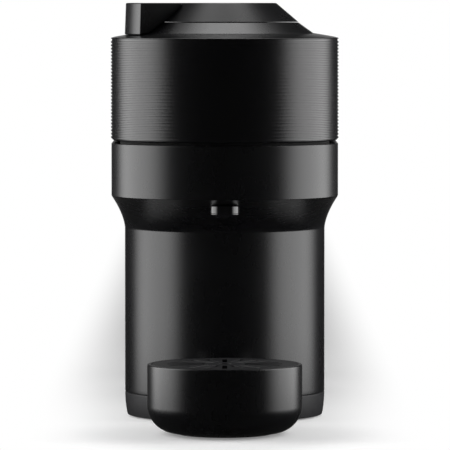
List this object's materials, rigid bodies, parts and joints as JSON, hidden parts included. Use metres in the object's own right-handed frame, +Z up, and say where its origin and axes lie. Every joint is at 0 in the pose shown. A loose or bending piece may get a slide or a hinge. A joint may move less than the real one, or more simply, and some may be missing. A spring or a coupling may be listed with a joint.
{
  "type": "pod coffee machine",
  "caption": "Upright capsule coffee machine with a ribbed hinged head, a flared neck, a round cup stand, a capsule bin and a half-round water tank.",
  "frame": {"origin": "middle of the footprint, on the surface the machine stands on", "axes": "+Z up, -Y towards the cup side, +X to the right as seen from the cup side"},
  "size_m": [0.136, 0.426, 0.253],
  "materials": {
    "black_gloss": "piano black, polished",
    "black_ribs": "black, ribbed",
    "black_satin": "fine satin",
    "grey_moulding": "moulded grey",
    "foot_rubber": "soft matt",
    "silicone": "milky silicone",
    "steel": "turned",
    "aluminium": "cast",
    "board": "lacquered board",
    "light_guide": "frosted light guide",
    "smoked_tank": "smoked clear plastic"
  },
  "bodies": {
    "base": {"base_plate": "grey_moulding", "rubber_feet": "foot_rubber", "base_skirt": "black_satin", "base_deck": "black_satin", "body_shell": "black_gloss", "rear_shell": "black_gloss", "tank_seat": "black_gloss", "brew_deck": "black_satin", "collector": "black_satin", "coffee_spout": "black_satin", "bearing_race": "steel", "bearing_balls": "steel", "capsule_chute": "black_satin", "lock_catches": "grey_moulding", "hinge_bracket": "grey_moulding", "hinge_pin": "steel", "thermoblock": "aluminium", "power_board": "board", "pump": "steel", "pump_mounts": "foot_rubber", "flow_meter": "grey_moulding", "tank_hose": "silicone", "suction_hose": "silicone", "pressure_hose": "silicone", "brew_hose": "silicone", "cable_gland": "grey_moulding", "housing_screws": "steel"},
    "head": {"head_shell": "black_ribs", "head_cap": "black_satin", "head_floor": "black_satin", "head_seal": "foot_rubber", "head_hinge": "black_satin", "motor_housing": "grey_moulding", "motor_stator": "steel", "shaft_bearings": "steel", "water_inlet": "grey_moulding", "head_hose": "silicone", "button_tower": "grey_moulding", "button_board": "board", "light_ring": "light_guide"},
    "brew_rotor": {"motor_rotor": "steel", "pressing_plate": "black_satin", "injection_needle": "steel"},
    "lever": {"lever": "black_gloss", "lock_cage": "grey_moulding"},
    "button": {"button": "black_gloss"},
    "capsule_holder": {"capsule_holder": "black_satin"},
    "cup_support": {"drum": "black_gloss", "drum_foot": "foot_rubber"},
    "drip_tray": {"drip_tray": "black_satin"},
    "drip_grid": {"drip_grid": "black_satin"},
    "capsule_bin": {"capsule_bin": "black_gloss", "bin_cover": "black_gloss"},
    "tank": {"water_tank": "smoked_tank"},
    "tank_lid": {"tank_lid": "black_gloss"},
    "tank_valve": {"tank_valve": "grey_moulding"}
  },
  "joints": [
    {"name": "head_open", "type": "hinge", "parent": "base", "child": "head", "pos_m": [0, 0.001, 0.17025], "axis": [-1, 0, 0], "range_deg": [0, 80]},
    {"name": "lever_turn", "type": "hinge", "parent": "head", "child": "lever", "pos_m": [0, -0.117, 0.24], "axis": [0, 0, 1], "range_deg": [0, 55]},
    {"name": "button_press", "type": "slide", "parent": "head", "child": "button", "axis": [0, 0, -1], "range_m": [0, 0.0015], "stiffness_N_per_m": 400},
    {"name": "brew_spin", "type": "hinge", "parent": "head", "child": "brew_rotor", "pos_m": [0, -0.117, 0.2], "axis": [0, 0, 1], "continuous": true},
    {"name": "holder_spin", "type": "hinge", "parent": "base", "child": "capsule_holder", "pos_m": [0, -0.117, 0.16], "axis": [0, 0, 1], "continuous": true},
    {"name": "stand_slide", "type": "slide", "parent": "base", "child": "cup_support", "axis": [0, -1, 0], "range_m": [0, 0.035]},
    {"name": "tray_lift", "type": "slide", "parent": "cup_support", "child": "drip_tray", "axis": [0, 0, 1], "range_m": [0, 0.025]},
    {"name": "grid_lift", "type": "slide", "parent": "drip_tray", "child": "drip_grid", "axis": [0, 0, 1], "range_m": [0, 0.015]},
    {"name": "bin_lift", "type": "slide", "parent": "base", "child": "capsule_bin", "axis": [0, 0, 1], "range_m": [0, 0.015]},
    {"name": "tank_lift", "type": "slide", "parent": "base", "child": "tank", "axis": [0, 0, 1], "range_m": [0, 0.045]},
    {"name": "lid_open", "type": "hinge", "parent": "tank", "child": "tank_lid", "pos_m": [0, 0.14965, 0.15875], "axis": [1, 0, 0], "range_deg": [0, 90]},
    {"name": "valve_close", "type": "slide", "parent": "tank", "child": "tank_valve", "axis": [0, 0, -1], "range_m": [0, 0.0027]}
  ],
  "couplings": [
    {"joint": "holder_spin", "follows": "brew_spin", "ratio": 1},
    {"joint": "valve_close", "follows": "tank_lift", "ratio": 0.06}
  ]
}
